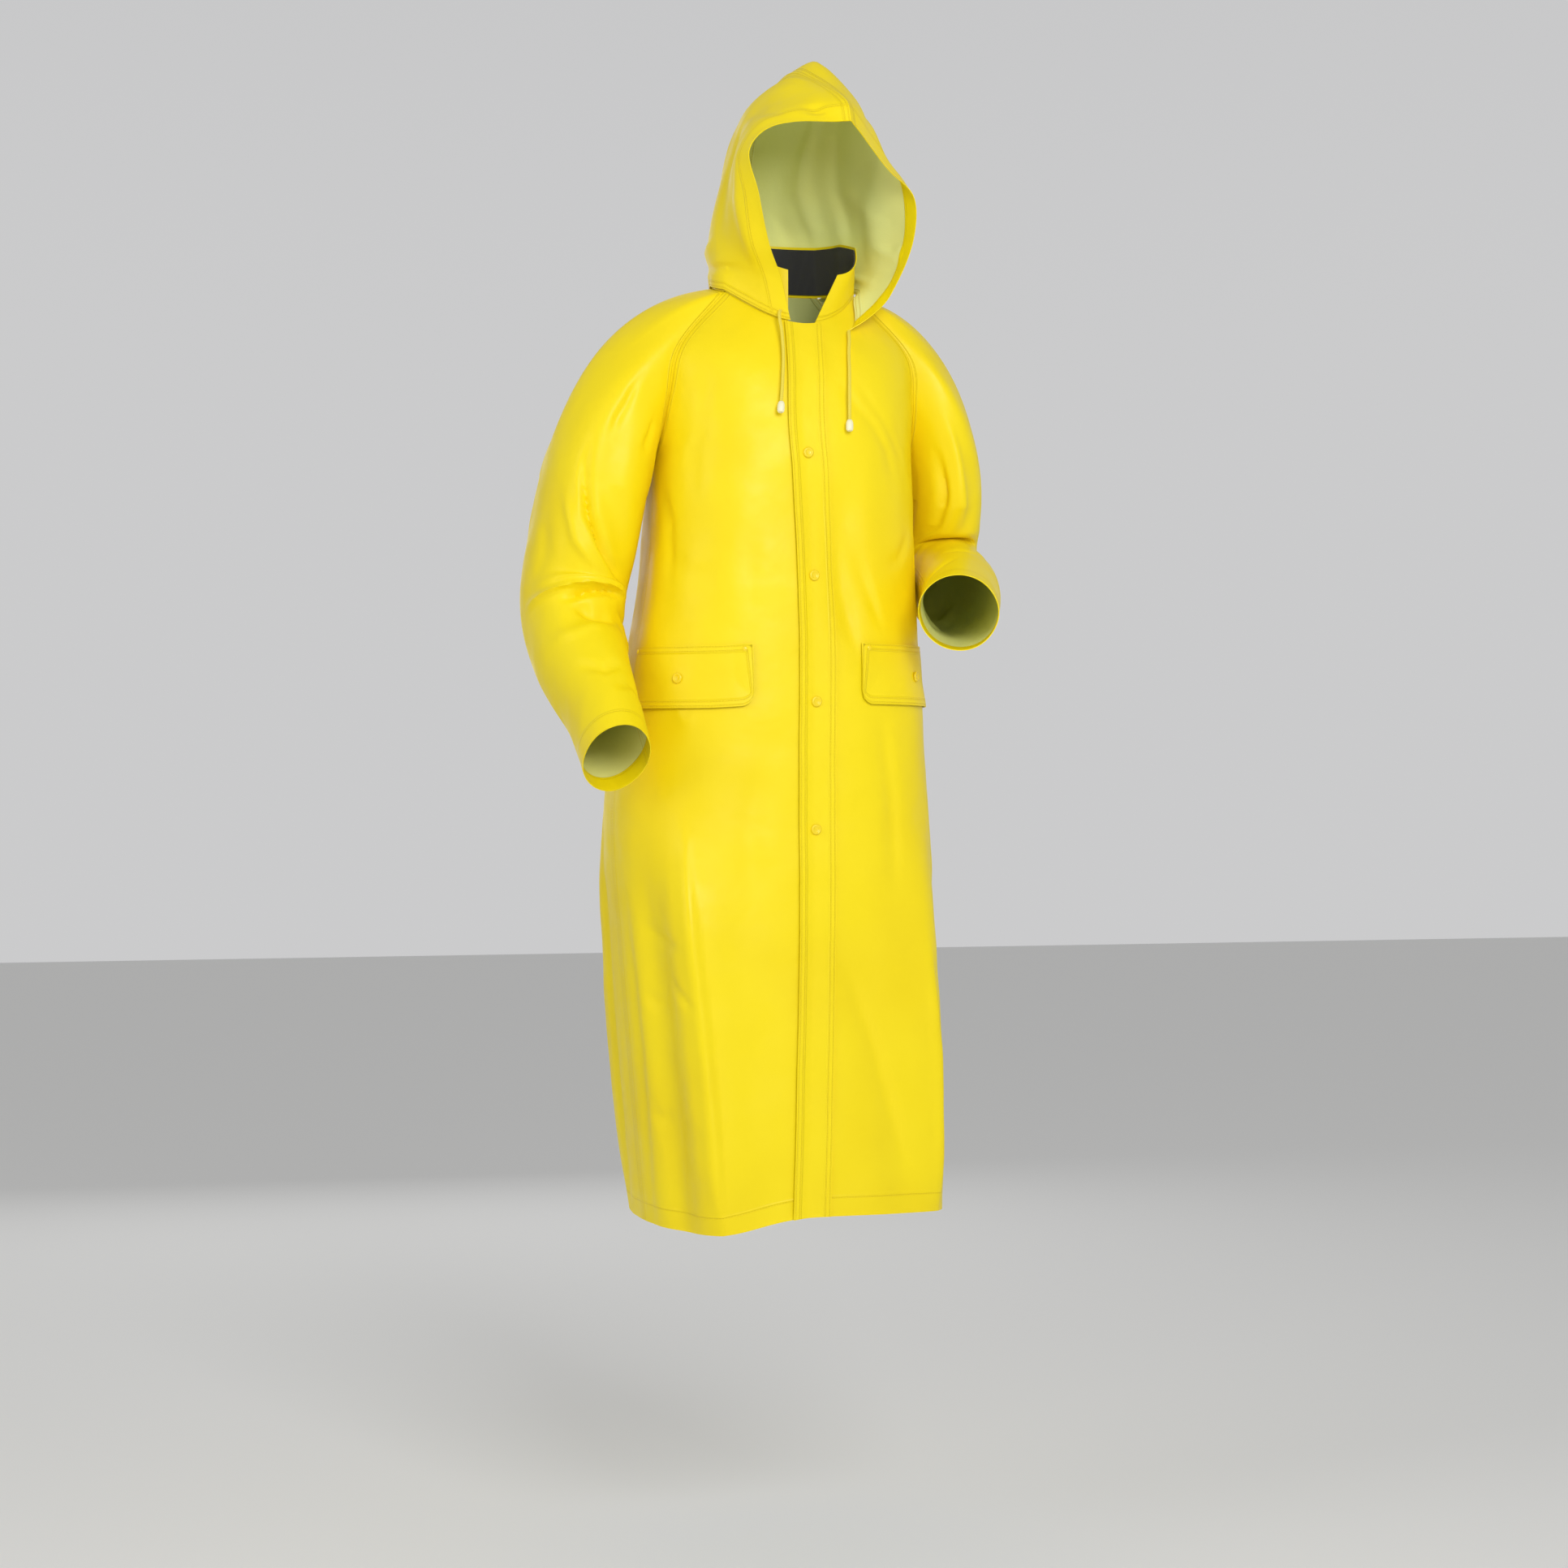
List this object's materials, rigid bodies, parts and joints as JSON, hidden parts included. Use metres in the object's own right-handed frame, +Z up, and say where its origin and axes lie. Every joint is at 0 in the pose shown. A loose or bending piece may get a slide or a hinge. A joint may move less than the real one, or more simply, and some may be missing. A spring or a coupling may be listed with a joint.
{
  "type": "hooded raincoat",
  "caption": "Long hooded raincoat worn with bent arms: raglan sleeves, storm flap with snaps, pocket flaps, stand collar and hood with drawcords.",
  "frame": {"origin": "between the shoulders, at the level where the coat rests on the wearer", "axes": "+Z up along the coat, the front faces -Y, the wearer's right arm is at -X"},
  "size_m": [0.5821, 0.4214, 1.4137],
  "materials": {
    "coated_cloth": "yellow PVC coating on knitted polyester, semi gloss",
    "corduroy": "black corduroy",
    "cord": "braided polyester cord",
    "cord_end": "moulded plastic",
    "snap": "yellow enamelled cap"
  },
  "bodies": {
    "root": {"front_right": "coated_cloth", "front_left": "coated_cloth", "back": "coated_cloth", "sleeve_right": "coated_cloth", "sleeve_left": "coated_cloth", "collar": "coated_cloth", "collar_corduroy": "corduroy", "hood_right": "coated_cloth", "hood_left": "coated_cloth", "storm_flap": "coated_cloth", "pocket_flap_right": "coated_cloth", "pocket_flap_left": "coated_cloth", "snap_flap_1": "snap", "snap_flap_2": "snap", "snap_flap_3": "snap", "snap_flap_4": "snap", "snap_pocket_right": "snap", "snap_pocket_left": "snap", "rivet_right_inner": "snap", "rivet_right_outer": "snap", "rivet_left_inner": "snap", "rivet_left_outer": "snap", "drawcord_right": "cord", "cord_end_right": "cord_end", "drawcord_left": "cord", "cord_end_left": "cord_end"}
  },
  "joints": []
}
